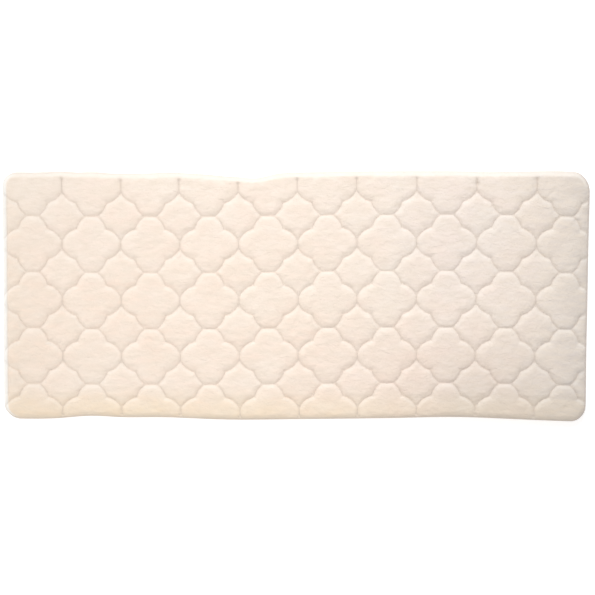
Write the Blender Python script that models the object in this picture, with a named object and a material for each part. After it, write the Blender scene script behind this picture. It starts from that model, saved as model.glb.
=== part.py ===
"""Anti-fatigue floor mat, built layer by layer in metres, with +Z up.

A plush cover is rolled round a foam core. Both are pressed into a trellis of
quatrefoils. The cover's lower edge turns in under a base cloth and is stitched to
it, and a rubber coat with raised pads under that cloth grips the floor.
"""

import math

import bmesh
import bpy

# Outside of the mat
LENGTH = 1.200
WIDTH = 0.508
THICKNESS = 0.020
CORNER_RADIUS = 0.032
UPPER_ROUND = 0.007
LOWER_ROUND = 0.002
ARC_STEPS = 6

# Layers, from the floor up, and the clearance between layers that touch
GAP = 0.0003
PAD_HEIGHT = 0.0015
COAT_THICKNESS = 0.0004
CLOTH_THICKNESS = 0.0008
COVER_THICKNESS = 0.0025

# Hem: the cover's lower edge, turned in under the base cloth
HEM_THICKNESS = 0.0009
HEM_WIDTH = 0.010
STITCH_INSET = 0.007
STITCH_RADIUS = 0.00025

# Grip pads
PAD_PITCH = 0.100
PAD_COLUMNS = 11
PAD_ROWS = 5
PAD_RADIUS = 0.005
PAD_SIDES = 8
PAD_ROOT = 0.0002

# Care label: a ribbon folded in two
LABEL_LENGTH = 0.030
LABEL_WIDTH = 0.020
LABEL_THICKNESS = 0.0004
LABEL_Y = 0.120

# Trellis: quatrefoils side by side, with an ogee between every four of them
PITCH_X = LENGTH / 9.914
PITCH_Y = WIDTH / 4.43
COLUMNS = 10
ROWS = 5
FIRST_X = -LENGTH / 2 + 0.5075 * PITCH_X
FIRST_Y = WIDTH / 2 - 0.275 * PITCH_Y

# One quarter of a quatrefoil, in half pitches from its centre, and its side lobe's rise
FLAT_END = (0.20, 1.0)
CUSP = (0.508, 0.538)
SIDE_END = (1.0, 0.10)
SIDE_ARC_RISE = 0.0050

# The first row's cells have straight sides above their middles, to past the mat's edge
TOP_CELL_RISE = 0.4 * PITCH_Y

# Pressed groove: a V along the outlines, which stops short of the rolled edge
GROOVE_DEPTH = 0.0045
GROOVE_HALF_WIDTH = 0.0050
GROOVE_BORDER = 0.008
OVERSHOOT = 0.0005
CUTTER_HEIGHT = 0.006

# Heights that follow from the layers
COAT_BASE = PAD_HEIGHT
COAT_TOP = COAT_BASE + COAT_THICKNESS
HEM_TOP = COAT_TOP
HEM_BASE = HEM_TOP - HEM_THICKNESS
CLOTH_BASE = HEM_TOP + GAP
CLOTH_TOP = CLOTH_BASE + CLOTH_THICKNESS
FOAM_BASE = CLOTH_TOP + GAP
CAVITY_TOP = THICKNESS - COVER_THICKNESS
FOAM_TOP = CAVITY_TOP - GAP
GROOVE_GAP = GAP * math.hypot(GROOVE_DEPTH, GROOVE_HALF_WIDTH) / GROOVE_HALF_WIDTH


def clear_scene():
    for item in list(bpy.data.objects):
        bpy.data.objects.remove(item, do_unlink=True)


def material(name, colour, roughness):
    made = bpy.data.materials.new(name)
    made.use_nodes = True
    shader = made.node_tree.nodes["Principled BSDF"]
    shader.inputs["Base Color"].default_value = (*colour, 1.0)
    shader.inputs["Roughness"].default_value = roughness
    shader.inputs["Metallic"].default_value = 0.0
    made.diffuse_color = (*colour, 1.0)
    return made


def add_object(name, bm):
    bmesh.ops.recalc_face_normals(bm, faces=bm.faces)
    mesh = bpy.data.meshes.new(name)
    bm.to_mesh(mesh)
    bm.free()
    made = bpy.data.objects.new(name, mesh)
    bpy.context.scene.collection.objects.link(made)
    return made


def as_cutter(item):
    """A helper shape that only trims other pieces."""
    item.hide_render = True
    item.display_type = "WIRE"
    return item


def boolean(target, cutter, operation):
    step = target.modifiers.new(f"{operation.title()} {cutter.name}", "BOOLEAN")
    step.operation = operation
    step.solver = "EXACT"
    step.object = cutter


def finish(item, paint):
    item.data.materials.append(paint)
    item.data.shade_smooth()
    item.data.set_sharp_from_angle(angle=math.radians(30))


def rounded_rectangle(inset):
    """Points of the mat's outline, moved in by inset, anticlockwise."""
    radius = CORNER_RADIUS - inset
    centre_x = LENGTH / 2 - CORNER_RADIUS
    centre_y = WIDTH / 2 - CORNER_RADIUS
    points = []
    for quarter, (side_x, side_y) in enumerate(((1, 1), (-1, 1), (-1, -1), (1, -1))):
        for step in range(ARC_STEPS + 1):
            angle = (quarter + step / ARC_STEPS) * math.pi / 2
            x = side_x * centre_x + radius * math.cos(angle)
            y = side_y * centre_y + radius * math.sin(angle)
            points.append((x, y))
    return points


def prism(bm, outline, low, high):
    """A closed upright prism over an outline, in bm."""
    floor = bm.faces.new([bm.verts.new((x, y, low)) for x, y in outline])
    lifted = bmesh.ops.extrude_face_region(bm, geom=[floor], use_keep_orig=True)
    top_verts = [v for v in lifted["geom"] if isinstance(v, bmesh.types.BMVert)]
    bmesh.ops.translate(bm, vec=(0, 0, high - low), verts=top_verts)


def round_rim(bm, height, radius, steps):
    """Bevel every edge that lies wholly at one height."""
    rim = [e for e in bm.edges if all(abs(v.co.z - height) < 1e-6 for v in e.verts)]
    bmesh.ops.bevel(
        bm,
        geom=rim,
        offset=radius,
        segments=steps,
        profile=0.5,
        affect="EDGES",
        clamp_overlap=True,
    )


def slab(name, inset, low, high, upper_round=0.0, lower_round=0.0):
    """A layer of the mat: the outline moved in by inset, between two heights."""
    bm = bmesh.new()
    prism(bm, rounded_rectangle(inset), low, high)
    if upper_round:
        round_rim(bm, high, upper_round, 4)
    if lower_round:
        round_rim(bm, low, lower_round, 2)
    return add_object(name, bm)


def arc_middle(start, end, rise):
    """The middle of an arc from start to end, which bulges to its right by rise."""
    middle_x = (start[0] + end[0]) / 2
    middle_y = (start[1] + end[1]) / 2
    along_x = end[0] - start[0]
    along_y = end[1] - start[1]
    chord = math.hypot(along_x, along_y)
    return (middle_x + along_y / chord * rise, middle_y - along_x / chord * rise)


def quarter_outline():
    """A quatrefoil's outline in its first quadrant, from the right side up to the top."""
    half_x = PITCH_X / 2
    half_y = PITCH_Y / 2
    side = (SIDE_END[0] * half_x, SIDE_END[1] * half_y)
    cusp = (CUSP[0] * half_x, CUSP[1] * half_y)
    top = (FLAT_END[0] * half_x, FLAT_END[1] * half_y)
    return [side, arc_middle(side, cusp, SIDE_ARC_RISE), cusp, top]


def four_quarters(quarter):
    """A closed outline from its first quadrant, mirrored in both axes."""
    points = list(quarter)
    points += [(-x, y) for x, y in reversed(quarter)]
    points += [(-x, -y) for x, y in quarter]
    points += [(x, -y) for x, y in reversed(quarter)]
    return points


def quatrefoil_outline():
    return four_quarters(quarter_outline())


def top_cell_outline():
    """A quatrefoil of the first row, whose upper half has straight upright sides."""
    lower_half = [point for point in quatrefoil_outline() if point[1] < 0]
    return [(PITCH_X / 2, TOP_CELL_RISE), (-PITCH_X / 2, TOP_CELL_RISE)] + lower_half


def ogee_outline():
    """The space between four quatrefoils, with a point at each of its four ends."""
    corner_x = PITCH_X / 2
    corner_y = PITCH_Y / 2
    quarter = [(corner_x - x, corner_y - y) for x, y in reversed(quarter_outline())]
    outline = four_quarters(quarter)
    return [p for p, after in zip(outline, outline[1:] + outline[:1]) if math.dist(p, after) > 1e-6]


def trellis_cells():
    """Every quatrefoil and ogee of the trellis, as a centre and an outline.

    There are no ogees above the first row, whose cells run straight up to the edge.
    """
    cells = []
    for row in range(ROWS):
        for column in range(COLUMNS):
            centre = (FIRST_X + column * PITCH_X, FIRST_Y - row * PITCH_Y)
            outline = top_cell_outline() if row == 0 else quatrefoil_outline()
            cells.append((centre, outline))
    for row in range(1, ROWS + 1):
        for column in range(COLUMNS + 1):
            centre = (
                FIRST_X + (column - 0.5) * PITCH_X,
                FIRST_Y - (row - 0.5) * PITCH_Y,
            )
            cells.append((centre, ogee_outline()))
    return cells


def ridge_cutter(name, surface, border):
    """A plate whose underside has the trellis as V ridges, GROOVE_DEPTH below surface."""
    bm = bmesh.new()
    for (centre_x, centre_y), outline in trellis_cells():
        corners = [
            bm.verts.new((centre_x + x, centre_y + y, surface - GROOVE_DEPTH))
            for x, y in outline
        ]
        bm.faces.new(corners)
    bmesh.ops.remove_doubles(bm, verts=bm.verts, dist=1e-5)
    climb = GROOVE_DEPTH + OVERSHOOT
    bmesh.ops.recalc_face_normals(bm, faces=bm.faces)
    if bm.faces[:][0].normal.z < 0:
        bmesh.ops.reverse_faces(bm, faces=bm.faces)
    bmesh.ops.inset_individual(
        bm,
        faces=bm.faces,
        thickness=GROOVE_HALF_WIDTH * climb / GROOVE_DEPTH,
        depth=climb,
        use_even_offset=True,
    )
    lifted = bmesh.ops.extrude_face_region(bm, geom=bm.faces[:], use_keep_orig=True)
    for vert in lifted["geom"]:
        if isinstance(vert, bmesh.types.BMVert):
            vert.co.z = surface + CUTTER_HEIGHT
    plate = as_cutter(add_object(name, bm))
    field = as_cutter(
        slab(f"{name}_field", border, surface - CUTTER_HEIGHT, surface + 2 * CUTTER_HEIGHT)
    )
    boolean(plate, field, "INTERSECT")
    return plate


def plush_cover():
    """The cover: a pressed top, rolled sides and a hem turned in at the bottom."""
    cover = slab("plush_cover", 0.0, HEM_BASE, THICKNESS, UPPER_ROUND, LOWER_ROUND)
    boolean(cover, ridge_cutter("cover_ridges", THICKNESS, GROOVE_BORDER), "DIFFERENCE")
    cavity = as_cutter(
        slab(
            "cover_cavity",
            COVER_THICKNESS,
            HEM_TOP,
            CAVITY_TOP,
            UPPER_ROUND - COVER_THICKNESS,
        )
    )
    cavity_border = GROOVE_BORDER - COVER_THICKNESS
    cavity_ridges = ridge_cutter("cavity_ridges", CAVITY_TOP, cavity_border)
    boolean(cavity, cavity_ridges, "DIFFERENCE")
    boolean(cover, cavity, "DIFFERENCE")
    opening = as_cutter(slab("hem_opening", HEM_WIDTH, 0.0, HEM_TOP + CLOTH_THICKNESS))
    boolean(cover, opening, "DIFFERENCE")
    finish(cover, material("cream_plush", (0.90, 0.80, 0.68), 0.95))


def foam_core():
    """The foam slab, pressed to the same trellis as the cover."""
    inset = COVER_THICKNESS + GAP
    foam = slab("foam_core", inset, FOAM_BASE, FOAM_TOP, UPPER_ROUND - inset)
    border = GROOVE_BORDER - inset
    ridges = ridge_cutter("foam_ridges", CAVITY_TOP - GROOVE_GAP, border)
    boolean(foam, ridges, "DIFFERENCE")
    finish(foam, material("memory_foam", (0.85, 0.80, 0.62), 0.90))


def base_cloth():
    """The cloth that closes the underside, held by the hem all round."""
    cloth = slab("base_cloth", COVER_THICKNESS + GAP, CLOTH_BASE, CLOTH_TOP)
    finish(cloth, material("base_knit", (0.78, 0.72, 0.62), 0.85))


def grip_coat():
    """A thin rubber coat on the base cloth, with pads that stand on the floor."""
    coat = slab("grip_coat", HEM_WIDTH + 2 * GAP, COAT_BASE, COAT_TOP)
    bm = bmesh.new()
    for column in range(PAD_COLUMNS):
        for row in range(PAD_ROWS):
            centre_x = (column - (PAD_COLUMNS - 1) / 2) * PAD_PITCH
            centre_y = (row - (PAD_ROWS - 1) / 2) * PAD_PITCH
            turns = [2 * math.pi * side / PAD_SIDES for side in range(PAD_SIDES)]
            outline = [
                (
                    centre_x + PAD_RADIUS * math.cos(turn),
                    centre_y + PAD_RADIUS * math.sin(turn),
                )
                for turn in turns
            ]
            prism(bm, outline, 0.0, COAT_BASE + PAD_ROOT)
    pads = as_cutter(add_object("grip_pads", bm))
    boolean(coat, pads, "UNION")
    finish(coat, material("grip_rubber", (0.80, 0.76, 0.68), 0.55))


def closing_stitch():
    """The thread that sews the hem to the base cloth, one loop round the underside."""
    line = bpy.data.curves.new("closing_stitch", "CURVE")
    line.dimensions = "3D"
    line.bevel_depth = STITCH_RADIUS
    line.bevel_resolution = 2
    height = HEM_BASE - GAP - STITCH_RADIUS
    points = rounded_rectangle(STITCH_INSET)
    spline = line.splines.new("POLY")
    spline.points.add(len(points) - 1)
    for point, (x, y) in zip(spline.points, points):
        point.co = (x, y, height, 1.0)
    spline.use_cyclic_u = True
    thread = bpy.data.objects.new("closing_stitch", line)
    bpy.context.scene.collection.objects.link(thread)
    line.materials.append(material("cream_thread", (0.86, 0.78, 0.66), 0.60))


def care_label():
    """A blank folded ribbon whose ends are caught beside the closing stitch."""
    low_x = -LENGTH / 2 + STITCH_INSET + STITCH_RADIUS + GAP
    high_x = low_x + LABEL_LENGTH
    low_y = LABEL_Y - LABEL_WIDTH / 2
    high_y = LABEL_Y + LABEL_WIDTH / 2
    outline = [(low_x, low_y), (high_x, low_y), (high_x, high_y), (low_x, high_y)]
    bm = bmesh.new()
    prism(bm, outline, HEM_BASE - GAP - LABEL_THICKNESS, HEM_BASE - GAP)
    finish(add_object("care_label", bm), material("satin_ribbon", (0.92, 0.91, 0.88), 0.40))


clear_scene()
plush_cover()
foam_core()
base_cloth()
grip_coat()
closing_stitch()
care_label()
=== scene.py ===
"""Looks of a plush anti-fatigue mat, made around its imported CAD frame.

The cover is a fine mesh whose rows crowd together at the pressed grooves, with pillows
between them from a cloth simulation. Foam, base cloth, rubber dots, stitches and a blank
label lie under it where the CAD says. Lengths are in metres unless a name says otherwise.
"""

import math

import bpy
import numpy as np
from mathutils import Euler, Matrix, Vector
from mathutils.bvhtree import BVHTree


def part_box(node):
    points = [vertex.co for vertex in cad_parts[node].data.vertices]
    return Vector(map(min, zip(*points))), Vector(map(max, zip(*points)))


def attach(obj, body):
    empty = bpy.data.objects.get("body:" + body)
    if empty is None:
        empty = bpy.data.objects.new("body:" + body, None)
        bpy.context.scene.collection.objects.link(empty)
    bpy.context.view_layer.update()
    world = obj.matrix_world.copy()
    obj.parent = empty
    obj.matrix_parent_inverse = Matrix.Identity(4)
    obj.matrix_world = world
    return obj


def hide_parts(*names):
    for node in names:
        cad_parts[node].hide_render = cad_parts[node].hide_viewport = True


BODY = "root"

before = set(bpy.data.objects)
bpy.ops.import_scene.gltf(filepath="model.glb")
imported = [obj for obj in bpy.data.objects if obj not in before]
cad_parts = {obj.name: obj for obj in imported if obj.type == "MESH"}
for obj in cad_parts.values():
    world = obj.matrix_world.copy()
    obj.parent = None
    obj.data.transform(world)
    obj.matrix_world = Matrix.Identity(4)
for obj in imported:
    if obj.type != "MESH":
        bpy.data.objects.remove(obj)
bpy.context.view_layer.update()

# ---------------------------------------------------------------- sizes from the frame
COVER_LOW, COVER_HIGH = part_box("plush_cover")
CLOTH_LOW, CLOTH_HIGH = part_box("base_cloth")
COAT_LOW, COAT_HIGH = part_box("grip_coat")
LABEL_LOW, LABEL_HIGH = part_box("care_label")
FOAM_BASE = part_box("foam_core")[0].z
STITCH_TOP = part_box("closing_stitch")[1].z

LENGTH = COVER_HIGH.x - COVER_LOW.x
WIDTH = COVER_HIGH.y - COVER_LOW.y
TOP = COVER_HIGH.z
GAP = 0.0003

# Corner radii, by the signs of x and y: the cover isn't sewn alike at every corner
CORNER_RADII = {(1, 1): 0.037, (-1, 1): 0.027, (-1, -1): 0.033, (1, -1): 0.034}

# ---------------------------------------------------------------- sizes of the relief
# Trellis, as in the CAD: how many cells the mat is long and wide, how many pitches the first
# one's middle is in from the left and top edges, and a quarter quatrefoil in half pitches
CELLS_ALONG = 9.914
CELLS_ACROSS = 4.43
FIRST_CELL = (0.5075, 0.275)
PITCH_X = LENGTH / CELLS_ALONG
PITCH_Y = WIDTH / CELLS_ACROSS
FIRST_X = -LENGTH / 2 + FIRST_CELL[0] * PITCH_X
FIRST_Y = WIDTH / 2 - FIRST_CELL[1] * PITCH_Y
FLAT_END = (0.20, 1.0)
CUSP = (0.508, 0.538)
SIDE_END = (1.0, 0.10)
TOP_ARC_RISE = 0.0030
SIDE_ARC_RISE = 0.0050
ARC_POINTS = 10

# A groove is a narrow crease with broad soft shoulders. Where it runs along y, the
# shoulders lose a share of their depth
CREASE_DEPTH = 0.0020
CREASE_WIDTH = 0.0016
CREASE_POWER = 1.5
SHOULDER_DEPTH = 0.0010
SHOULDER_WIDTH = 0.0078
UPRIGHT_EASE = 0.45

# Where the grooves run out before an edge: all round, and before the wider top roll
GROOVE_END = (0.001, 0.006)
TOP_GROOVE_END = (0.0115, 0.0145)

# The upright grooves along the top edge end in dimples: inset, depth and radius
DIMPLE = (0.0150, 0.0009, 0.0030)
ODD_DIMPLE = (0.0245, 0.0020, 0.0042)
ODD_COLUMN = 7

# Straight creases in the face: both ends, depth, half width, and how far they darken their line,
# partly as pressed pile and partly as painted shade
CREASES = (((0.526, 0.219), (0.505, 0.199), 0.0010, 0.0030, 0.10),
           ((-0.5914, 0.205), (-0.5914, -0.205), 0.0015, 0.0015, 0.45),
           ((-0.5840, 0.180), (-0.5840, -0.195), 0.0003, 0.0020, 0.0))

# The face's height before its relief, and the limits of what the pillows add to it
FACE_BASE = TOP - 0.0016
PILLOW_LOW = -0.0004
PILLOW_HIGH = 0.0022

# Slow random changes of the face's height and of places in the mat: how far they go, the
# size of their cells along x and y, and the seed
SWELL = (0.0004, 0.07, 0.05, 11)
NAP = (0.00036, 0.018, 0.0080, 12)
DRIFT_X = (0.0006, 0.11, 0.11, 3)
DRIFT_Y = (0.0006, 0.11, 0.11, 4)

# How grid points crowd towards the grooves: share of the distance kept there, and reach
CROWDING = 0.45
CROWDING_REACH = 0.012

# Squares that crowding pinched are evened out: number of passes, and the least cross
# product of two sides that a square may have
UNFOLD_PASSES = 12
LEAST_CORNER = 1.5e-7

# ---------------------------------------------------------------- sizes of the rim and hem
# The rolled rim's width, the height of its side and the inset of the tuck under it, and the
# powers that keep the roll along the top edge high for longer
RIM_WIDTH = 0.0125
RIM_SIDE = 0.0105
RIM_STEPS = 10
RIM_TUCK = 0.0025
TUCK_STEPS = 5
TOP_ROLL = (1.6, 0.65)
HEM_BASE = COVER_LOW.z
HEM_TOP = CLOTH_LOW.z - GAP
HEM_WIDTH = 0.010

# Insets between which crowding sets in, inside the rim
RIM_CROWDING = (RIM_WIDTH - 0.002, RIM_WIDTH + 0.006)

# The cover's inner wall, as insets and heights, and its lining: depth under the top, how
# much deeper it is at the grooves, and their half width there
INNER_WALL = ((0.0040, HEM_TOP), (0.0036, 0.006), (0.0034, RIM_SIDE), (0.0050, TOP - 0.0062))
LINING_DROP = 0.0042
LINING_RELIEF = 0.0042
LINING_WIDTH = 0.0090

# ---------------------------------------------------------------- how the mat lies
# The whole mat sways along its length, droops to the right of a place, and is turned
SWAY_HEIGHT = 0.00232
SWAY_LENGTH = 1.103
SWAY_START = -0.287
DROOP_START = 0.309
DROOP_RATE = 0.0312
TURN = 0.00196

# Columns lean with the sway, and less so at the right end
LEAN = 0.464
LEAN_EASE = 0.4
LEAN_EASE_RANGE = (0.3, 0.6)

# Inside the edges the trellis sags towards the low side, less so at the right, and is
# shifted and stretched along x
SAG = 0.0022
SAG_RANGE = (0.12, -0.20)
SAG_EASE = 0.4
SAG_EASE_RANGE = (-0.1, 0.2)
SHIFT = 0.0011
STRETCH = 0.0028
EDGE_REACH = 0.050
END_REACH = 0.040

# Bulges and hollows of the long edges: place along x, how far out, half width
TOP_EDGE_BUMPS = ((-0.48, 0.0030, 0.035), (-0.415, 0.0026, 0.025), (-0.26, 0.0023, 0.030),
                  (-0.13, -0.0068, 0.050), (-0.075, -0.0091, 0.035), (0.39, -0.0016, 0.040),
                  (0.54, 0.0034, 0.060))
LOW_EDGE_BUMPS = ((-0.42, 0.0063, 0.060), (-0.28, 0.0056, 0.100), (0.33, 0.0033, 0.120))
LOW_EDGE_BASE = -0.0010

# The right end is a little waisted, and the left end's rolled rim is pulled out
RIGHT_PULL = 0.0008
RIGHT_PULL_MIDDLE = 0.070
LEFT_PULL = 0.0020
LEFT_PULL_REACH = 0.009

# ---------------------------------------------------------------- tints of the pile: pressed grooves, painted light and painted shade
# Point attributes of the cover that its material reads
TINTS = ("pressed_and_shaded", "painted_highlight", "painted_rim_light", "painted_rim_shade")

# A groove's line is darkened, partly pressed pile and partly painted shade: the half width, how
# strongly where it runs along x, and how much more painted shade where it runs along y
PRESSED_AND_SHADE_WIDTH = 0.0010
PRESSED_AND_SHADE_ALONG_X = 0.15
PAINTED_SHADE_MORE_ALONG_Y = 0.77

# Painted highlight along a groove's lower side, facing the light: distance from the line, half width
HIGHLIGHT_PLACE = 0.0038
HIGHLIGHT_WIDTH = 0.0026

# On the rim, painted light at the top and the left, and painted shade at the right, below and at
# the top: how strongly, and between which shares of the rim's width each sets in
RIM_LIGHT_TOP = 0.38
RIM_LIGHT_LEFT = 0.97
RIM_SHADE_RIGHT = 0.75
RIM_SHADE_LOW = 0.45
RIM_SHADE_TOP = 0.26
RIM_LIGHT_TOP_RANGE = (0, 0.3)
RIM_LIGHT_LEFT_RANGE = (0.25, 0.5)
RIM_SHADE_RANGE = (0.45, 0.9)
RIM_LIGHT_BELOW = 0.5

# ---------------------------------------------------------------- mesh spacings and steps
GRID_STEP = 0.0031
PILLOW_STEP = 0.0062
FOAM_STEP = 0.0075
CLOTH_STEP = 0.012
COAT_STEP = 0.014

# The pillow sheet: its inset, where it is held, by distance from a groove, and its frames
PILLOW_INSET = 0.003
HELD_RANGE = (0.0015, 0.0060)
PILLOW_FRAMES = 20

# ---------------------------------------------------------------- sizes of the lower layers
# Inset of the foam and the base cloth, and the foam's distance from the lining
LAYER_INSET = 0.0045
FOAM_GAP = 0.0006
FILM_THICKNESS = 0.0004

# Rubber dots: spacing, least distance from the film's border, and a dot as radii and heights
DOT_SPACING = 0.014
DOT_BORDER = 0.004
DOT_SIDES = 8
DOT_RINGS = ((0.00175, COAT_HIGH.z - FILM_THICKNESS + 0.0001), (0.00165, 0.0007), (0.0010, 0.0001))

# Closing stitch: a stitch has rings at shares of its length, with shares of its thickness
STITCH_INSET = 0.007
STITCH_PITCH = 0.004
STITCH_LENGTH = 0.0033
STITCH_RINGS = ((-0.5, 0.35), (-0.36, 0.9), (0.0, 1.0), (0.36, 0.9), (0.5, 0.35))
STITCH_TIP = 0.54
STITCH_SINK = 0.00022
THREAD_RADIUS = 0.00025
THREAD_SIDES = 6

# Care label: thickness of its ribbon, and points along a layer, round the fold and across
RIBBON = 0.00016
RIBBON_POINTS = 9
FOLD_POINTS = 7


# ---------------------------------------------------------------- small helpers
def smooth_step(low, high, value):
    share = np.clip((value - low) / (high - low), 0, 1)
    return share * share * (3 - 2 * share)


def soft_noise(x, y, reach, cell_x, cell_y, seed):
    """Smooth random values from -reach to reach, with features about one cell long."""
    side = 512
    lattice = np.random.default_rng(seed).uniform(-1, 1, (side, side))
    across, up = x / cell_x + side / 2, y / cell_y + side / 2
    column, row = np.floor(across).astype(int), np.floor(up).astype(int)
    column_share = smooth_step(0, 1, across - column)
    row_share = smooth_step(0, 1, up - row)

    def corner(right, over):
        return lattice[(row + over) % side, (column + right) % side]

    low = corner(0, 0) * (1 - column_share) + corner(1, 0) * column_share
    high = corner(0, 1) * (1 - column_share) + corner(1, 1) * column_share
    return reach * (low * (1 - row_share) + high * row_share)


def new_mesh(name, points, faces):
    """A smooth-shaded object from an array of points and a list of faces."""
    mesh = bpy.data.meshes.new(name)
    mesh.from_pydata(np.asarray(points, float).tolist(), [], faces)
    mesh.shade_smooth()
    made = bpy.data.objects.new(name, mesh)
    bpy.context.scene.collection.objects.link(made)
    return made


# ---------------------------------------------------------------- the trellis
def arc(start, end, rise, count):
    """Points from start to end on an arc that bulges to the right of its chord."""
    chord = end - start
    length = np.hypot(*chord)
    right = np.array([chord[1], -chord[0]]) / length
    radius = (length**2 / 4 + rise**2) / (2 * rise)
    centre = (start + end) / 2 + right * (rise - radius)
    half_angle = math.asin(length / 2 / radius)
    middle = math.atan2(right[1], right[0])
    turns = middle + np.linspace(-half_angle, half_angle, count)
    return centre + radius * np.stack([np.cos(turns), np.sin(turns)], axis=1)


def quarter_line():
    """The groove's middle line in a quatrefoil's first quadrant, from right to top."""
    half = np.array([PITCH_X / 2, PITCH_Y / 2])
    side, cusp, top = (np.array(point) * half for point in (SIDE_END, CUSP, FLAT_END))
    side_lobe = arc(side, cusp, SIDE_ARC_RISE, ARC_POINTS)
    top_lobe = arc(cusp, top, TOP_ARC_RISE, ARC_POINTS)
    return np.concatenate([[[half[0], 0.0]], side_lobe, top_lobe[1:], [[0.0, half[1]]]])


def nearest_on_groove(x, y):
    """The groove's middle line near each point: its distance, the nearest point on it, and
    how upright it runs there, from 0 for along x to 1 for along y.
    """
    column, row = np.round((x - FIRST_X) / PITCH_X), np.round((FIRST_Y - y) / PITCH_Y)
    centre_x, centre_y = FIRST_X + column * PITCH_X, FIRST_Y - row * PITCH_Y
    sign_x, sign_y = np.where(x < centre_x, -1.0, 1.0), np.where(y < centre_y, -1.0, 1.0)
    local = np.stack([np.abs(x - centre_x), np.abs(y - centre_y)], axis=-1)
    best = np.full(x.shape, np.inf)
    found = np.zeros(local.shape)
    upright = np.zeros(x.shape)
    line = quarter_line()
    for start, end in zip(line[:-1], line[1:]):
        span = end - start
        share = np.clip(((local - start) @ span) / (span @ span), 0, 1)
        place = start + share[..., None] * span
        gap = np.linalg.norm(local - place, axis=-1)
        closer = gap < best
        best = np.where(closer, gap, best)
        found = np.where(closer[..., None], place, found)
        upright = np.where(closer, abs(span[1]) / np.hypot(*span), upright)
    near_x, near_y = centre_x + sign_x * found[..., 0], centre_y + sign_y * found[..., 1]
    # Above the first row's middles the grooves only run straight up, between the cells
    between = centre_x + sign_x * PITCH_X / 2
    above = y > FIRST_Y
    best = np.where(above, np.abs(x - between), best)
    near_x, near_y = np.where(above, between, near_x), np.where(above, y, near_y)
    return best, near_x, near_y, np.where(above, 1.0, upright)


def groove_depth(distance, upright):
    """How far the top is pressed down, by distance from a groove's middle line.

    The shoulders are a little lower along the grooves that run along y.
    """
    crease = CREASE_DEPTH * np.exp(-((distance / CREASE_WIDTH) ** CREASE_POWER))
    shoulder = SHOULDER_DEPTH * (1 - UPRIGHT_EASE * upright**4)
    return crease + shoulder * np.exp(-((distance / SHOULDER_WIDTH) ** 2))


def crowd(x, y, step, share):
    """Draws grid points towards the grooves, and puts the closest ones on their lines."""
    distance, near_x, near_y, _ = nearest_on_groove(x, y)
    away_x, away_y = x - near_x, y - near_y
    across = np.maximum(np.abs(away_x), np.abs(away_y)) / np.maximum(distance, 1e-9)
    kept = CROWDING + (1 - CROWDING) * smooth_step(0, CROWDING_REACH, distance)
    kept = np.where(distance < step / 2 * across, 0, kept)
    kept = 1 + share * (kept - 1)
    return near_x + away_x * kept, near_y + away_y * kept


def unfold(x, y):
    """Evens out the few squares of a grid that crowding pinched or turned over."""
    x, y = x.copy(), y.copy()
    near, far = slice(None, -1), slice(1, None)
    corners = [(near, near), (near, far), (far, far), (far, near)]
    for _ in range(UNFOLD_PASSES):
        pinched = np.zeros((x.shape[0] - 1, x.shape[1] - 1), bool)
        for before, here, after in zip(corners, corners[1:] + corners[:1], corners[2:] + corners[:2]):
            run_x, run_y = x[here] - x[before], y[here] - y[before]
            pinched |= run_x * (y[after] - y[here]) - run_y * (x[after] - x[here]) < LEAST_CORNER
        moved = np.zeros(x.shape, bool)
        for corner in corners:
            moved[corner] |= pinched
        moved[[0, -1], :] = False
        moved[:, [0, -1]] = False
        for values in (x, y):
            around = values[:-2, 1:-1] + values[2:, 1:-1] + values[1:-1, :-2] + values[1:-1, 2:]
            mean = values.copy()
            mean[1:-1, 1:-1] = around / 4
            values[moved] = mean[moved]
    return x, y


# ---------------------------------------------------------------- how the mat lies
def bumps(x, shapes):
    return sum(rise * np.exp(-(((x - place) / reach) ** 2)) for place, rise, reach in shapes)


def lie(x, y):
    """Where a point of the flat mat lies: it sways a little, and its long edges are wavy."""
    phase = 2 * math.pi * (x - SWAY_START) / SWAY_LENGTH
    droop = np.maximum(0, x - DROOP_START)
    sway = -SWAY_HEIGHT * np.cos(phase) - DROOP_RATE * droop**2 - TURN * x
    slope = SWAY_HEIGHT * np.sin(phase) * 2 * math.pi / SWAY_LENGTH - 2 * DROOP_RATE * droop - TURN
    near_top_edge = smooth_step(WIDTH / 2 - EDGE_REACH, WIDTH / 2, y)
    near_low_edge = smooth_step(-WIDTH / 2 + EDGE_REACH, -WIDTH / 2, y)
    inside_x = 1 - smooth_step(LENGTH / 2 - END_REACH, LENGTH / 2, np.abs(x))
    inside_y = 1 - near_top_edge - near_low_edge
    sag = -SAG * smooth_step(*SAG_RANGE, y) * (1 - SAG_EASE * smooth_step(*SAG_EASE_RANGE, x))
    lean = LEAN * y * slope * (1 - LEAN_EASE * smooth_step(*LEAN_EASE_RANGE, x))
    waist = RIGHT_PULL * np.clip(1 - (2 * (y - RIGHT_PULL_MIDDLE) / WIDTH) ** 2, 0, 1)
    pull = waist * smooth_step(LENGTH / 2 - END_REACH, LENGTH / 2, x)
    pull += LEFT_PULL * smooth_step(LENGTH / 2 - LEFT_PULL_REACH, LENGTH / 2, -x)
    moved_x = x - lean + soft_noise(x, y, *DRIFT_X) + (SHIFT + STRETCH * x) * inside_x - pull
    moved_y = y + sway + soft_noise(x, y, *DRIFT_Y) + sag * inside_y
    moved_y += near_top_edge * bumps(x, TOP_EDGE_BUMPS)
    moved_y += near_low_edge * (LOW_EDGE_BASE + bumps(x, LOW_EDGE_BUMPS))
    return moved_x, moved_y


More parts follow.
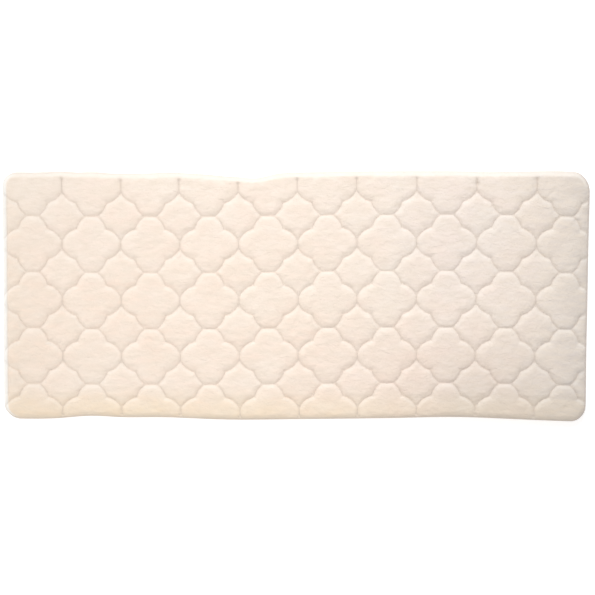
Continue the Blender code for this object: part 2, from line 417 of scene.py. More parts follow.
# ---------------------------------------------------------------- the outline
def round_corners(x, y, inset):
    """Bends a square-cornered grid into the rounded outline moved in by inset.

    Returns the points, and for those on the outline the direction that points outward.
    """
    half_x, half_y = LENGTH / 2 - inset, WIDTH / 2 - inset
    x, y = x.copy(), y.copy()
    out_x = np.where(np.isclose(np.abs(x), half_x), np.sign(x), 0.0)
    out_y = np.where(np.isclose(np.abs(y), half_y), np.sign(y), 0.0)
    for (sign_x, sign_y), outer_radius in CORNER_RADII.items():
        radius = outer_radius - inset
        u = (sign_x * x - (half_x - radius)) / radius
        v = (sign_y * y - (half_y - radius)) / radius
        corner = (u > 0) & (v > 0)
        u, v = u[corner], v[corner]
        disc_x, disc_y = u * np.sqrt(1 - v * v / 2), v * np.sqrt(1 - u * u / 2)
        x[corner] = sign_x * (half_x - radius + radius * disc_x)
        y[corner] = sign_y * (half_y - radius + radius * disc_y)
        reach = np.hypot(disc_x, disc_y)
        out_x[corner], out_y[corner] = sign_x * disc_x / reach, sign_y * disc_y / reach
    return x, y, out_x, out_y


def grid_over(inset, step):
    """A grid over the outline moved in by inset, and its outward directions."""
    half_x, half_y = LENGTH / 2 - inset, WIDTH / 2 - inset
    line_x = np.linspace(-half_x, half_x, 4 * round(half_x / step / 2) + 1)
    line_y = np.linspace(-half_y, half_y, 4 * round(half_y / step / 2) + 1)
    return round_corners(*np.meshgrid(line_x, line_y), inset)


def edge_loop(grid):
    """A grid's outer entries in order, anticlockwise from the lowest left one."""
    return np.concatenate([grid[0, :-1], grid[:-1, -1], grid[-1, :0:-1], grid[:0:-1, 0]])


def grid_faces(index, height, upward=True):
    """Triangles over a grid of point numbers, split along the lower diagonal of each square."""
    a, b, c, d = index[:-1, :-1], index[:-1, 1:], index[1:, 1:], index[1:, :-1]
    low = height.ravel()
    falls = low[a - index[0, 0]] + low[c - index[0, 0]] < low[b - index[0, 0]] + low[d - index[0, 0]]
    first = np.where(falls[..., None], np.stack([a, b, c], -1), np.stack([a, b, d], -1))
    second = np.where(falls[..., None], np.stack([a, c, d], -1), np.stack([b, c, d], -1))
    faces = np.concatenate([first.reshape(-1, 3), second.reshape(-1, 3)])
    return (faces if upward else faces[:, ::-1]).tolist()


def band_faces(inner, outer):
    """Squares between two loops of equal count; outer lies outside or below inner."""
    return np.stack([inner, outer, np.roll(outer, -1), np.roll(inner, -1)], axis=1).tolist()


def halving_faces(fine, coarse):
    """Triangles from a loop to the next one, which has half as many points."""
    first, second, third = fine[::2], fine[1::2], np.roll(fine[::2], -1)
    following = np.roll(coarse, -1)
    parts = [(first, coarse, second), (second, coarse, following), (second, following, third)]
    return np.concatenate([np.stack(part, axis=1) for part in parts]).tolist()


# ---------------------------------------------------------------- the pillows
def simulate_pillows():
    """A sheet of cloth blown up between the grooves, as a tree to look heights up in."""
    x, y, _, _ = grid_over(PILLOW_INSET, PILLOW_STEP)
    x, y = crowd(x, y, PILLOW_STEP, 1.0)
    index = np.arange(x.size).reshape(x.shape)
    squares = np.stack([index[:-1, :-1], index[:-1, 1:], index[1:, 1:], index[1:, :-1]], -1)
    flat = np.stack([x.ravel(), y.ravel(), np.zeros(x.size)], axis=1)
    sheet = new_mesh("pillow_sheet", flat, squares.reshape(-1, 4).tolist())

    distance = nearest_on_groove(x, y)[0]
    held = 1 - smooth_step(*HELD_RANGE, distance)
    held[[0, -1], :] = 1
    held[:, [0, -1]] = 1
    pins = sheet.vertex_groups.new(name="held")
    for number, weight in enumerate(held.ravel()):
        pins.add([number], float(weight), "REPLACE")

    cloth = sheet.modifiers.new("cloth", "CLOTH")
    settings = cloth.settings
    settings.quality = 5
    settings.mass = 0.15
    settings.tension_stiffness = 12
    settings.compression_stiffness = 6
    settings.shear_stiffness = 3
    settings.bending_stiffness = 0.3
    settings.air_damping = 2
    settings.shrink_min = -0.014
    settings.use_pressure = True
    settings.uniform_pressure_force = 2.5
    settings.vertex_group_mass = "held"
    settings.pin_stiffness = 2
    settings.effector_weights.gravity = 0
    cloth.point_cache.frame_start = 1
    cloth.point_cache.frame_end = PILLOW_FRAMES
    smoothing = sheet.modifiers.new("smoothing", "SUBSURF")
    smoothing.levels = smoothing.render_levels = 1
    scene = bpy.context.scene
    for number in range(1, PILLOW_FRAMES + 1):
        scene.frame_set(number)
    blown = sheet.evaluated_get(bpy.context.evaluated_depsgraph_get())
    points = [tuple(vertex.co) for vertex in blown.data.vertices]
    polygons = [tuple(polygon.vertices) for polygon in blown.data.polygons]
    tree = BVHTree.FromPolygons(points, polygons)
    scene.frame_set(1)
    bpy.data.objects.remove(sheet)
    return tree


def pillow_heights(tree, x, y):
    """How far the simulated cloth stands up at each point."""
    if tree is None:
        return np.zeros(x.shape)
    heights = np.zeros(x.size)
    down = Vector((0, 0, -1))
    for number, (across, up) in enumerate(zip(x.ravel(), y.ravel())):
        hit = tree.ray_cast(Vector((across, up, 1.0)), down)[0]
        heights[number] = hit.z if hit else 0.0
    return np.clip(heights, PILLOW_LOW, PILLOW_HIGH).reshape(x.shape)


# ---------------------------------------------------------------- the plush cover
def groove_share(x, y):
    """How much of the grooves' depth is left at each point near an edge."""
    inset = np.minimum(LENGTH / 2 - np.abs(x), WIDTH / 2 - np.abs(y))
    return smooth_step(*GROOVE_END, inset) * smooth_step(*TOP_GROOVE_END, WIDTH / 2 - y)


def dimple_share(x, y):
    """Depth of the dimples along the top edge, and their share from 0 to 1, which darkens them
    partly as pressed pile and partly as painted shade.
    """
    column = np.round((x - FIRST_X) / PITCH_X - 0.5)
    place_x = FIRST_X + (column + 0.5) * PITCH_X
    odd = column == ODD_COLUMN
    inset, depth, radius = (np.where(odd, *pair) for pair in zip(ODD_DIMPLE, DIMPLE))
    distance = np.hypot(x - place_x, y - (WIDTH / 2 - inset))
    share = np.exp(-((distance / radius) ** 2))
    return depth * share, share


def crease_share(x, y, start, end, width):
    """Nearness to a straight crease between two points, from 0 to 1 on its line."""
    start, end = np.array(start), np.array(end)
    span = end - start
    offset_x, offset_y = x - start[0], y - start[1]
    share = np.clip((offset_x * span[0] + offset_y * span[1]) / (span @ span), 0, 1)
    distance = np.hypot(offset_x - share * span[0], offset_y - share * span[1])
    return np.exp(-((distance / width) ** 2))


def face_height(x, y, tree):
    """Height of the plush face, and from 0 to 1 how far its grooves are darkened, partly as pressed
    pile and partly as painted shade, and how strong its painted highlight is.
    """
    distance, _, near_y, upright = nearest_on_groove(x, y)
    share = groove_share(x, y)
    dimple, dimple_shade = dimple_share(x, y)
    # Groove lines are darkened, partly as pressed pile and partly as painted shade, more along y
    across = PRESSED_AND_SHADE_ALONG_X + PAINTED_SHADE_MORE_ALONG_Y * upright**2
    pressed_and_shaded = share * across * np.exp(-((distance / PRESSED_AND_SHADE_WIDTH) ** 2))
    # The dimples are darkened too, partly as pressed pile and partly as painted shade
    pressed_and_shaded = np.clip(pressed_and_shaded + dimple_shade, 0, 1)
    # A painted highlight along each groove's lower side, which faces the light
    below = np.clip((near_y - y) / np.maximum(distance, 1e-9), 0, 1)
    painted_highlight = share * below * np.exp(-(((distance - HIGHLIGHT_PLACE) / HIGHLIGHT_WIDTH) ** 2))
    depth = share * groove_depth(distance, upright) + dimple
    # Creases darken their lines too, partly as pressed pile and partly as painted shade
    for start, end, fold, width, press_and_shade in CREASES:
        crease = crease_share(x, y, start, end, width)
        depth += fold * crease
        pressed_and_shaded = np.maximum(pressed_and_shaded, press_and_shade * crease)
    height = FACE_BASE + pillow_heights(tree, x, y)
    height = height + soft_noise(x, y, *SWELL) + soft_noise(x, y, *NAP)
    return height - depth, pressed_and_shaded, painted_highlight


def tint_rows(count, pressed_and_shaded=0.0, painted_highlight=0.0, painted_rim_light=0.0, painted_rim_shade=0.0):
    """Shares of the plush's tints, one row for each point, in the order of TINTS."""
    columns = [np.broadcast_to(values, count) for values in (pressed_and_shaded, painted_highlight, painted_rim_light, painted_rim_shade)]
    return np.stack(columns, axis=1)


def rim_profile():
    """Below the rolled shoulder: the side, the tuck under it and the hem, as inset and height."""
    rows = []
    for step in range(1, TUCK_STEPS + 1):
        turn = step / TUCK_STEPS * math.pi / 2
        inset = RIM_TUCK * (1 - math.cos(turn))
        rows.append((inset, RIM_SIDE - (RIM_SIDE - HEM_BASE) * math.sin(turn)))
    rows.append((HEM_WIDTH, HEM_BASE))
    rows.append((HEM_WIDTH, HEM_TOP))
    return rows


def lining_height(x, y):
    """Height of the cover's inner side, which follows the grooves more softly."""
    distance = nearest_on_groove(x, y)[0]
    return TOP - LINING_DROP - LINING_RELIEF * np.exp(-((distance / LINING_WIDTH) ** 2))


class Shell:
    """The points and faces of a piece, added one grid or ring after another."""

    def __init__(self):
        self.points = []
        self.faces = []
        self.total = 0

    def add(self, x, y, z):
        """Adds points, and returns their numbers in the shape of x."""
        level = np.broadcast_to(z, x.shape)
        self.points.append(np.stack([x.ravel(), y.ravel(), level.ravel()], axis=1))
        numbers = self.total + np.arange(x.size).reshape(x.shape)
        self.total += x.size
        return numbers

    def lay(self):
        """Moves the points so far to where they lie."""
        points = np.concatenate(self.points)
        points[:, 0], points[:, 1] = lie(points[:, 0], points[:, 1])
        self.points = [points]

    def piece(self, name):
        return new_mesh(name, np.concatenate(self.points), self.faces)


def build_cover(tree):
    flat = grid_over(RIM_WIDTH, GRID_STEP)
    loop_x, loop_y, out_x, out_y = map(edge_loop, flat)
    count = len(loop_x)
    x, y = flat[:2]
    inset_of = np.minimum(LENGTH / 2 - np.abs(x), WIDTH / 2 - np.abs(y))
    x, y = crowd(x, y, GRID_STEP, smooth_step(*RIM_CROWDING, inset_of))
    x, y = unfold(x, y)
    height, pressed_and_shaded, painted_highlight = face_height(x, y, tree)
    shell = Shell()
    face = shell.add(x, y, height)
    shell.faces += grid_faces(face, height)
    tints = [tint_rows(x.size, pressed_and_shaded.ravel(), painted_highlight.ravel())]
    last = edge_loop(face)

    to_top, to_low = np.clip(out_y, 0, 1), np.clip(-out_y, 0, 1)
    to_right, to_left = np.clip(out_x, 0, 1), np.clip(-out_x, 0, 1)
    # Painted light on the rim at the top and the left, and painted shade at the right, below and at
    # the top
    top_rim_light, left_rim_light = RIM_LIGHT_TOP * to_top, RIM_LIGHT_LEFT * to_left
    side_rim_shade = RIM_SHADE_RIGHT * to_right + RIM_SHADE_LOW * to_low + RIM_SHADE_TOP * to_top
    for step in range(1, RIM_STEPS + 1):
        turn = step / RIM_STEPS * math.pi / 2
        share = math.sin(turn)
        move = RIM_WIDTH * share
        ring_x, ring_y = loop_x + out_x * move, loop_y + out_y * move
        height, pressed_and_shaded, painted_highlight = face_height(ring_x, ring_y, tree)
        # The roll along the top edge stays high for longer, and then drops at once
        top_fall = (1 - share ** TOP_ROLL[0]) ** TOP_ROLL[1]
        fall = top_fall * to_top + math.cos(turn) * (1 - to_top)
        ring = shell.add(ring_x, ring_y, RIM_SIDE + (height - RIM_SIDE) * fall)
        painted_rim_light = top_rim_light * smooth_step(*RIM_LIGHT_TOP_RANGE, share)
        painted_rim_light = painted_rim_light + left_rim_light * smooth_step(*RIM_LIGHT_LEFT_RANGE, share)
        painted_rim_shade = side_rim_shade * smooth_step(*RIM_SHADE_RANGE, share)
        tints.append(tint_rows(count, pressed_and_shaded, painted_highlight, painted_rim_light, painted_rim_shade))
        shell.faces += band_faces(last, ring)
        last = ring
    for inset, level in rim_profile():
        move = RIM_WIDTH - inset
        ring = shell.add(loop_x + out_x * move, loop_y + out_y * move, level)
        # Below the roll, part of the painted light and all of the painted shade
        painted_rim_light = RIM_LIGHT_BELOW * (top_rim_light + left_rim_light)
        tints.append(tint_rows(count, painted_rim_light=painted_rim_light, painted_rim_shade=side_rim_shade))
        shell.faces += band_faces(last, ring)
        last = ring

    # Inside, the mesh is half as fine
    loop_x, loop_y, out_x, out_y = (edge_loop(values[::2, ::2]) for values in flat)
    for row, (inset, level) in enumerate(INNER_WALL):
        move = RIM_WIDTH - inset
        ring = shell.add(loop_x + out_x * move, loop_y + out_y * move, level)
        shell.faces += halving_faces(last, ring) if row == 0 else band_faces(last, ring)
        last = ring
    x, y = (values[::2, ::2] for values in flat[:2])
    height = lining_height(x, y)
    lining = shell.add(x, y, height)
    shell.faces += band_faces(last, edge_loop(lining))
    shell.faces += grid_faces(lining, height, upward=False)
    shell.lay()

    cover = shell.piece("plush_cover_cloth")
    tints = np.concatenate(tints)
    for name, values in zip(TINTS, tints.T):
        everywhere = np.zeros(shell.total, np.float32)
        everywhere[:len(values)] = values
        attribute = cover.data.attributes.new(name, "FLOAT", "POINT")
        attribute.data.foreach_set("value", everywhere)
    return cover


# ---------------------------------------------------------------- foam and base
def pad_shell(inset, step, top, bottom, side_rows, rounding):
    """A closed pad with the rounded outline: a top and a bottom grid and a rounded side."""
    x, y, out_x, out_y = grid_over(inset + rounding, step)
    loop_x, loop_y, loop_out_x, loop_out_y = map(edge_loop, (x, y, out_x, out_y))
    high, low = top(x, y), bottom(x, y)
    edge_high, edge_low = edge_loop(high), edge_loop(low)
    shell = Shell()
    upper = shell.add(x, y, high)
    shell.faces += grid_faces(upper, high)
    last = edge_loop(upper)
    for row in range(1, side_rows):
        turn = row / side_rows * math.pi
        move = rounding * math.sin(turn)
        share = (1 - math.cos(turn)) / 2
        level = edge_high * (1 - share) + edge_low * share
        ring = shell.add(loop_x + loop_out_x * move, loop_y + loop_out_y * move, level)
        shell.faces += band_faces(last, ring)
        last = ring
    under = shell.add(x, y, low)
    shell.faces += band_faces(last, edge_loop(under))
    shell.faces += grid_faces(under, low, upward=False)
    shell.lay()
    return shell


def flat_at(level):
    """A pad's side that is level."""
    return lambda x, y: np.full(x.shape, level)


def build_foam():
    def top(x, y):
        return lining_height(x, y) - FOAM_GAP

    bottom = flat_at(FOAM_BASE)
    shell = pad_shell(LAYER_INSET, FOAM_STEP, top, bottom, side_rows=8, rounding=0.004)
    return shell.piece("foam_cushion")


def build_base_cloth():
    top, bottom = flat_at(CLOTH_HIGH.z), flat_at(CLOTH_LOW.z)
    shell = pad_shell(LAYER_INSET, CLOTH_STEP, top, bottom, side_rows=4, rounding=0.0004)
    return shell.piece("base_cloth_knit")


def dot_places():
    """Middles of the rubber dots: staggered rows that fill the film up to its border."""
    half_x = min(-COAT_LOW.x, COAT_HIGH.x) - DOT_BORDER
    half_y = min(-COAT_LOW.y, COAT_HIGH.y) - DOT_BORDER
    radius = max(CORNER_RADII.values()) - (LENGTH / 2 - half_x)
    row_height = DOT_SPACING * math.sin(math.radians(60))
    rows = int(half_y / row_height)
    columns = int(half_x / DOT_SPACING) + 1
    for row in range(-rows, rows + 1):
        for column in range(-columns, columns + 1):
            x = (column + 0.5 * (row % 2)) * DOT_SPACING
            y = row * row_height
            over_x, over_y = abs(x) - (half_x - radius), abs(y) - (half_y - radius)
            in_corner = over_x > 0 and over_y > 0 and math.hypot(over_x, over_y) > radius
            if abs(x) <= half_x and abs(y) <= half_y and not in_corner:
                yield x, y


def cap_faces(first, first_ring, last, last_ring):
    """Triangles that close a tube, from a tip at each end to the ring next to it."""
    faces = []
    for a, b, c, d in zip(first_ring, np.roll(first_ring, -1), last_ring, np.roll(last_ring, -1)):
        faces.append([int(first), int(a), int(b)])
        faces.append([int(last), int(d), int(c)])
    return faces


def build_coat():
    """The rubber film with its dots, which are low domes joined on from below."""
    top, bottom = flat_at(COAT_HIGH.z), flat_at(COAT_HIGH.z - FILM_THICKNESS)
    inset = LENGTH / 2 - COAT_HIGH.x
    shell = pad_shell(inset, COAT_STEP, top, bottom, side_rows=4, rounding=0.0002)
    turns = np.arange(DOT_SIDES) / DOT_SIDES * 2 * math.pi
    for place in dot_places():
        x, y = lie(*(np.array([value]) for value in place))
        rings = [shell.add(x + radius * np.cos(turns), y + radius * np.sin(turns), level)
                 for radius, level in DOT_RINGS]
        for upper, lower in zip(rings[:-1], rings[1:]):
            shell.faces += band_faces(upper, lower)
        high, low = shell.add(x, y, DOT_RINGS[0][1])[0], shell.add(x, y, 0.0)[0]
        shell.faces += cap_faces(high, rings[0], low, rings[-1])
    return shell.piece("grip_coat_dots")


# ---------------------------------------------------------------- stitches and label
def outline_walk(inset, pitch):
    """Points at equal steps along the outline moved in by inset, with their directions."""
    along, across = 1200, 500
    half_x, half_y = LENGTH / 2 - inset, WIDTH / 2 - inset
    line_x = np.linspace(-half_x, half_x, along + 1)
    line_y = np.linspace(-half_y, half_y, across + 1)
    right, left = np.full(across, half_x), np.full(across, -half_x)
    low, high = np.full(along, -half_y), np.full(along, half_y)
    square_x = np.concatenate([line_x[:-1], right, line_x[:0:-1], left])
    square_y = np.concatenate([low, line_y[:-1], high, line_y[:0:-1]])
    x, y, _, _ = round_corners(square_x, square_y, inset)
    x, y = lie(x, y)
    x, y = np.append(x, x[0]), np.append(y, y[0])
    way = np.concatenate([[0.0], np.cumsum(np.hypot(np.diff(x), np.diff(y)))])
    count = round(way[-1] / pitch)
    stops = np.arange(count) * way[-1] / count
    ahead = stops + pitch / 10
    middle = np.stack([np.interp(stops, way, x), np.interp(stops, way, y)], axis=1)
    next_point = np.stack([np.interp(ahead, way, x), np.interp(ahead, way, y)], axis=1)
    direction = next_point - middle
    return middle, direction / np.linalg.norm(direction, axis=1)[:, None]


def build_stitches():
    """One short thread for each stitch, sunk at both ends into the hem."""
    turns = np.arange(THREAD_SIDES) / THREAD_SIDES * 2 * math.pi
    level = STITCH_TOP - THREAD_RADIUS
    shell = Shell()
    for middle, ahead in zip(*outline_walk(STITCH_INSET, STITCH_PITCH)):
        side = np.array([-ahead[1], ahead[0]])
        rings = []
        for share, girth in STITCH_RINGS:
            sink = STITCH_SINK * (2 * share) ** 4
            ring = middle + ahead * share * STITCH_LENGTH
            ring = ring + side * (THREAD_RADIUS * girth * np.cos(turns))[:, None]
            ring_z = level + sink - THREAD_RADIUS * girth * np.sin(turns)
            rings.append(shell.add(ring[:, 0], ring[:, 1], ring_z))
        reach = ahead * STITCH_LENGTH * STITCH_TIP
        ends = np.stack([middle - reach, middle + reach])
        first, last = shell.add(ends[:, 0], ends[:, 1], level + STITCH_SINK)
        for near, far in zip(rings[:-1], rings[1:]):
            shell.faces += band_faces(near, far)
        shell.faces += cap_faces(first, rings[0], last, rings[-1])
    return shell.piece("closing_stitches")


def build_label():
    """A blank ribbon folded in half, its fold pointing in under the mat."""
    low, high = LABEL_LOW, LABEL_HIGH
    fold_radius = (high.z - low.z) / 2 - RIBBON / 2
    middle_z = (high.z + low.z) / 2
    run = np.linspace(low.x, high.x - fold_radius, RIBBON_POINTS)
    bend = np.linspace(math.pi / 2, -math.pi / 2, FOLD_POINTS)[1:-1]
    path = [(x, middle_z + fold_radius) for x in run]
    for turn in bend:
        path.append((run[-1] + fold_radius * math.cos(turn), middle_z + fold_radius * math.sin(turn)))
    path += [(x, middle_z - fold_radius) for x in run[::-1]]
    path = np.array(path)
    ahead = np.gradient(path, axis=0)
    ahead /= np.linalg.norm(ahead, axis=1)[:, None]
    side = np.stack([-ahead[:, 1], ahead[:, 0]], axis=1)
    across = np.linspace(low.y, high.y, RIBBON_POINTS)
    shell = Shell()
    layers = []
    for offset in (RIBBON / 2, -RIBBON / 2):
        layer = path + side * offset
        x, y = np.meshgrid(layer[:, 0], across)
        layers.append(shell.add(x, y, layer[:, 1]))
    outer, inner = layers
    for row in range(len(across) - 1):
        for step in range(len(path) - 1):
            square = [(row, step), (row, step + 1), (row + 1, step + 1), (row + 1, step)]
            shell.faces.append([int(outer[corner]) for corner in square])
            shell.faces.append([int(inner[corner]) for corner in square[::-1]])
    shell.faces += band_faces(edge_loop(outer), edge_loop(inner))
    return shell.piece("care_label_ribbon")


# ---------------------------------------------------------------- materials
class Paint:
    """A material's node tree, with short calls for the nodes that the fabrics share."""

    def __init__(self, name):
        self.material = bpy.data.materials.new(name)
        self.material.use_nodes = True
        self.nodes = self.material.node_tree.nodes
        self.links = self.material.node_tree.links
        self.shader = self.nodes["Principled BSDF"]
        self.place = self.add("ShaderNodeTexCoord").outputs["Object"]

    def add(self, kind, **values):
        node = self.nodes.new(kind)
        for key, value in values.items():
            setattr(node, key, value)
        return node

    def feed(self, socket, value):
        if isinstance(value, bpy.types.NodeSocket):
            self.links.new(value, socket)
        else:
            socket.default_value = value

    def stretched(self, scale):
        mapping = self.add("ShaderNodeMapping")
        mapping.inputs["Scale"].default_value = scale
        self.feed(mapping.inputs["Vector"], self.place)
        return mapping.outputs["Vector"]

    def noise(self, scale, detail=2.0, roughness=0.5, low=0.0, high=1.0, distortion=0.0):
        """Fractal noise with features 1/scale metres long, spread from low to high."""
        noise = self.add("ShaderNodeTexNoise")
        self.feed(noise.inputs["Vector"], self.stretched(scale))
        self.feed(noise.inputs["Scale"], 1.0)
        self.feed(noise.inputs["Detail"], detail)
        self.feed(noise.inputs["Roughness"], roughness)
        self.feed(noise.inputs["Distortion"], distortion)
        spread = self.add("ShaderNodeMapRange")
        self.feed(spread.inputs["Value"], noise.outputs["Fac"])
        self.feed(spread.inputs["From Min"], 0.3)
        self.feed(spread.inputs["From Max"], 0.7)
        self.feed(spread.inputs["To Min"], low)
        self.feed(spread.inputs["To Max"], high)
        return spread.outputs["Result"]

    def ramp(self, value, start, end):
        """Rises smoothly from 0 at start to 1 at end."""
        made = self.add("ShaderNodeMapRange", interpolation_type="SMOOTHSTEP")
        self.feed(made.inputs["Value"], value)
        self.feed(made.inputs["From Min"], start)
        self.feed(made.inputs["From Max"], end)
        return made.outputs["Result"]

    def attribute(self, name):
        return self.add("ShaderNodeAttribute", attribute_name=name).outputs["Fac"]

    def patch(self, place, size):
        """A soft oval patch: 1 in its middle, 0 from size away in each direction."""
        offset = self.add("ShaderNodeVectorMath", operation="SUBTRACT")
        self.feed(offset.inputs[0], self.place)
        self.feed(offset.inputs[1], place)
        scaled = self.add("ShaderNodeVectorMath", operation="DIVIDE")
        self.feed(scaled.inputs[0], offset.outputs["Vector"])
        self.feed(scaled.inputs[1], size)
        length = self.add("ShaderNodeVectorMath", operation="LENGTH")
        self.feed(length.inputs[0], scaled.outputs["Vector"])
        return self.ramp(length.outputs["Value"], 1.0, 0.0)

    def mix(self, share, first, second, way="MIX"):
        mix = self.add("ShaderNodeMix", data_type="RGBA", blend_type=way)
        self.feed(mix.inputs["Factor"], share)
        self.feed(mix.inputs["A"], first)
        self.feed(mix.inputs["B"], second)
        return mix.outputs["Result"]

    def tint(self, color, share, amount, hue):
        """Mixes share times amount of a hue into a colour."""
        return self.mix(self.math("MULTIPLY", share, amount), color, hue)

    def math(self, way, first, second):
        made = self.add("ShaderNodeMath", operation=way)
        self.feed(made.inputs[0], first)
        self.feed(made.inputs[1], second)
        return made.outputs["Value"]

    def bump(self, height, distance, strength=1.0, normal=None):
        made = self.add("ShaderNodeBump")
        self.feed(made.inputs["Height"], height)
        self.feed(made.inputs["Distance"], distance)
        self.feed(made.inputs["Strength"], strength)
        if normal is not None:
            self.feed(made.inputs["Normal"], normal)
        return made.outputs["Normal"]

    def finish(self, color, roughness, normal, sheen=0.0, specular=0.5):
        self.feed(self.shader.inputs["Base Color"], color)
        self.feed(self.shader.inputs["Roughness"], roughness)
        self.feed(self.shader.inputs["Normal"], normal)
        self.feed(self.shader.inputs["Sheen Weight"], sheen)
        self.feed(self.shader.inputs["Sheen Roughness"], 0.5)
        self.feed(self.shader.inputs["Specular IOR Level"], specular)
        return self.material


# Hues of the plush, as linear colours. The last five are painted shade, laid on by multiplying
CREAM = (0.95, 0.84, 0.74, 1)
PEACH = (0.95, 0.785, 0.66, 1)
PALE = (0.95, 0.87, 0.785, 1)
SALLOW = (0.91, 0.77, 0.59, 1)
ROSY = (0.96, 0.78, 0.67, 1)
MILKY = (0.93, 0.84, 0.79, 1)
COOL = (0.94, 0.835, 0.785, 1)
ASHEN = (0.87, 0.83, 0.75, 1)
GREY = (0.71, 0.648, 0.606, 1)
WORN = (0.86, 0.76, 0.65, 1)
PAINTED_LIGHT_HUE = (0.955, 0.94, 0.905, 1)
RIM_SHADE_HUE = (0.60, 0.53, 0.48, 1)
SHADE = (0.64, 0.56, 0.49, 1)
PAINTED_SHADE_LOW_RIGHT = (0.88, 0.885, 0.89, 1)
PAINTED_SHADE_COOL = (0.90, 0.90, 0.955, 1)
PAINTED_SHADE_PATCH = (0.99, 0.96, 0.955, 1)
PAINTED_SHADE_LOW_EDGE = (1.0, 0.98, 0.93, 1)
PAINTED_SHADE_RIGHT_END = (0.94, 0.95, 0.955, 1)

# Soft patches of the plush: middle, reach along x and y, hue
PATCHES = (((-0.02, -0.20, 0), (0.12, 0.05, 1), ROSY),
           ((0.20, -0.18, 0), (0.10, 0.05, 1), ROSY),
           ((-0.15, -0.10, 0), (0.30, 0.10, 1), ROSY),
           ((-0.41, -0.225, 0), (0.09, 0.03, 1), SALLOW),
           ((-0.28, 0.225, 0), (0.22, 0.06, 1), PALE),
           ((-0.57, 0.22, 0), (0.14, 0.10, 1), PALE))


def plush_material():
    paint = Paint("cream plush")
    apart = paint.add("ShaderNodeSeparateXYZ")
    paint.feed(apart.inputs[0], paint.place)
    along, across = apart.outputs["X"], apart.outputs["Y"]

    # Slow changes over the mat, and how much of each hue there is at most
    right_half = paint.ramp(along, -0.05, 0.30)
    color = paint.mix(paint.noise((7, 9, 9), 3.0), CREAM, PEACH)
    color = paint.tint(color, paint.ramp(across, -0.17, -0.25), 0.8, SALLOW)
    color = paint.tint(color, paint.ramp(across, -0.05, 0.20), 0.35, MILKY)
    color = paint.tint(color, paint.ramp(across, 0.19, 0.25), 0.4, PALE)
    color = paint.tint(color, paint.ramp(along, -0.50, -0.60), 0.4, SALLOW)
    # Painted shade: the right half is cooler
    color = paint.tint(color, right_half, 0.55, COOL)
    color = paint.mix(paint.noise((12, 14, 14), high=0.45), color, ROSY)
    # Painted shade: the right half is ashen in patches, and grey towards its end
    color = paint.tint(color, right_half, paint.noise((16, 18, 18), high=0.60), ASHEN)
    color = paint.mix(paint.ramp(along, 0.36, 0.62), color, GREY)
    for place, size, hue in PATCHES:
        color = paint.tint(color, paint.patch(place, size), 0.45, hue)

    # The pile's own streaks, which run along x
    color = paint.mix(paint.noise((26, 60, 60), 3.0, high=0.5), color, PALE)
    streaks = paint.noise((40, 125, 125), 3.0, 0.6, high=0.70, distortion=0.4)
    color = paint.mix(streaks, color, WORN)

    # Painted shade, multiplied in: darker and cooler towards the lower right, the right end and the
    # lower edge
    cool_shade_share = paint.math("MULTIPLY", paint.patch((0.34, 0.10, 0), (0.20, 0.28, 1)), 0.35)
    for share, hue in (
        (paint.patch((0.41, -0.25, 0), (0.30, 0.24, 1)), PAINTED_SHADE_LOW_RIGHT),
        (cool_shade_share, PAINTED_SHADE_COOL),
        (paint.patch((0.26, -0.15, 0), (0.36, 0.16, 1)), PAINTED_SHADE_PATCH),
        (paint.ramp(across, -0.18, -0.24), PAINTED_SHADE_LOW_EDGE),
        (paint.ramp(along, 0.52, 0.60), PAINTED_SHADE_RIGHT_END),
    ):
        color = paint.mix(share, color, hue, "MULTIPLY")

    # Painted light on the top and left rims and on the grooves' lower sides, painted shade on the
    # other rims, and groove lines darkened partly as pressed pile and partly as painted shade
    pressed_and_shaded, painted_highlight, painted_rim_light, painted_rim_shade = (paint.attribute(name) for name in TINTS)
    color = paint.mix(painted_rim_light, color, PAINTED_LIGHT_HUE)
    color = paint.tint(color, painted_highlight, 0.33, PAINTED_LIGHT_HUE)
    # Painted shade on the rims that turn away from the light
    color = paint.mix(painted_rim_shade, color, RIM_SHADE_HUE)
    color = paint.tint(color, pressed_and_shaded, 0.65, SHADE)

    swirls = paint.noise((58, 80, 80), 3.0, 0.55, distortion=0.5)
    clumps = paint.noise((190, 420, 420), 3.0, 0.6)
    fibres = paint.noise((700, 1500, 1500), 2.0, 0.6)
    normal = paint.bump(swirls, 0.0009)
    normal = paint.bump(clumps, 0.00028, 1.0, normal)
    normal = paint.bump(fibres, 0.0003, 0.6, normal)
    roughness = paint.noise((40, 90, 90), low=0.88, high=1.0)
    return paint.finish(color, roughness, normal, sheen=0.25, specular=0.15)


def foam_material():
    paint = Paint("open-cell foam")
    fresh, aged = (0.87, 0.83, 0.66, 1), (0.80, 0.74, 0.55, 1)
    color = paint.mix(paint.noise((30, 30, 30), 3.0), fresh, aged)
    cells = paint.bump(paint.noise((900, 900, 900), 2.0, 0.7), 0.0006)
    return paint.finish(color, 0.9, cells, sheen=0.1, specular=0.3)


def knit_material():
    paint = Paint("beige knit")
    high, low = (0.82, 0.77, 0.68, 1), (0.72, 0.67, 0.57, 1)
    color = paint.mix(paint.noise((300, 900, 300), 2.0), high, low)
    wave = paint.add("ShaderNodeTexWave", wave_type="BANDS", bands_direction="Y")
    paint.feed(wave.inputs["Vector"], paint.stretched((900, 900, 900)))
    paint.feed(wave.inputs["Scale"], 0.3)
    paint.feed(wave.inputs["Distortion"], 2.0)
    rows = paint.bump(wave.outputs["Fac"], 0.0002)
    return paint.finish(color, 0.85, rows, sheen=0.1, specular=0.3)


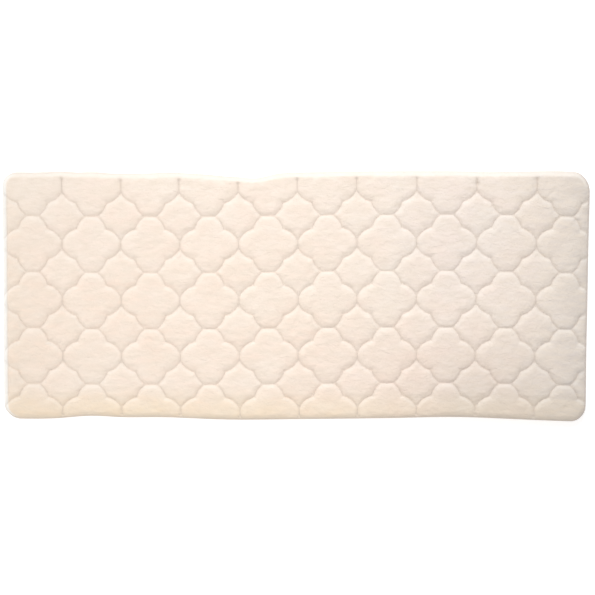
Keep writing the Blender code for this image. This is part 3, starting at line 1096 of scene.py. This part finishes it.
def rubber_material():
    paint = Paint("grip rubber")
    light, dark = (0.84, 0.80, 0.72, 1), (0.78, 0.73, 0.64, 1)
    color = paint.mix(paint.noise((20, 20, 20), 3.0), light, dark)
    grain = paint.bump(paint.noise((600, 600, 600), 3.0), 0.0001)
    roughness = paint.noise((60, 60, 60), low=0.42, high=0.6)
    return paint.finish(color, roughness, grain, sheen=0.0, specular=0.5)


def thread_material():
    paint = Paint("sewing thread")
    light, dark = (0.92, 0.85, 0.75, 1), (0.84, 0.76, 0.65, 1)
    color = paint.mix(paint.noise((400, 400, 400), 2.0), light, dark)
    twist = paint.bump(paint.noise((1500, 4000, 1500), 2.0), 0.00008)
    return paint.finish(color, 0.6, twist, sheen=0.1, specular=0.4)


def ribbon_material():
    paint = Paint("satin ribbon")
    light, dark = (0.94, 0.93, 0.90, 1), (0.88, 0.87, 0.83, 1)
    color = paint.mix(paint.noise((900, 120, 120), 2.0), light, dark)
    weave = paint.bump(paint.noise((3000, 900, 900), 2.0), 0.00005)
    return paint.finish(color, 0.45, weave, sheen=0.1, specular=0.5)


# ---------------------------------------------------------------- the mat
pillow_tree = simulate_pillows()
cover = build_cover(pillow_tree)
foam = build_foam()
base_cloth = build_base_cloth()
coat = build_coat()
stitches = build_stitches()
label = build_label()

for piece, node, slot, material in (
    (cover, "plush_cover", "plush", plush_material()),
    (foam, "foam_core", "foam", foam_material()),
    (base_cloth, "base_cloth", "base_cloth", knit_material()),
    (coat, "grip_coat", "grip_rubber", rubber_material()),
    (stitches, "closing_stitch", "thread", thread_material()),
    (label, "care_label", "label", ribbon_material()),
):
    piece.data.materials.append(material)
    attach(piece, BODY)
    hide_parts(node)


# ---------------------------------------------------------------- floor, light, camera
def make_floor():
    paint = Paint("studio floor")
    color = paint.mix(paint.noise((3, 3, 3), 2.0), (0.93, 0.93, 0.93, 1), (0.95, 0.95, 0.95, 1))
    grain = paint.bump(paint.noise((400, 400, 400)), 0.00005)
    material = paint.finish(color, 0.8, grain, sheen=0.0, specular=0.2)
    paint.feed(paint.shader.inputs["Emission Color"], (1, 1, 1, 1))
    paint.feed(paint.shader.inputs["Emission Strength"], 0.36)
    side, level = 12.0, -0.0004
    corners = [(-side, -side, level), (side, -side, level), (side, side, level), (-side, side, level)]
    floor = new_mesh("floor", corners, [[0, 1, 2, 3]])
    floor.data.materials.append(material)


def aim(item, place, target):
    item.location = place
    item.rotation_euler = (Vector(target) - Vector(place)).to_track_quat("-Z", "Y").to_euler()


def make_light(name, place, target, radius, cone, energy, color):
    """A soft spot light that fades from the middle of its cone, in degrees, to its edge."""
    data = bpy.data.lights.new(name, "SPOT")
    data.shadow_soft_size = radius
    data.spot_size = math.radians(cone)
    data.spot_blend = 1.0
    data.energy = energy
    data.color = color
    item = bpy.data.objects.new(name, data)
    bpy.context.scene.collection.objects.link(item)
    aim(item, place, target)


def make_world():
    world = bpy.data.worlds.new("studio")
    world.use_nodes = True
    background = world.node_tree.nodes["Background"]
    background.inputs["Color"].default_value = (0.99, 0.98, 0.98, 1)
    background.inputs["Strength"].default_value = 0.623
    bpy.context.scene.world = world


def make_camera():
    data = bpy.data.cameras.new("camera")
    data.sensor_width = 36
    data.lens = 73.0
    data.clip_end = 50
    item = bpy.data.objects.new("camera", data)
    item.location = (0.0581, 0.1263, 2.4876)
    item.rotation_euler = Euler([math.radians(turn) for turn in (-2.984, 1.197, -0.114)])
    bpy.context.scene.collection.objects.link(item)
    bpy.context.scene.camera = item


make_floor()
make_world()
make_light("key", (-0.4, 3.6, 3.0), (0.45, 0, 0),
           radius=0.6, cone=38, energy=430, color=(1.0, 0.99, 0.975))
make_light("overhead", (-0.52, 0.3, 6.0), (-0.52, 0, 0),
           radius=1.0, cone=21, energy=585, color=(1.0, 0.95, 0.90))
make_light("left fill", (-2.6, 0, 0.14), (-0.6, 0, 0.01),
           radius=0.3, cone=40, energy=30, color=(1.0, 0.99, 0.98))
make_camera()
bpy.context.scene.view_settings.view_transform = "Standard"
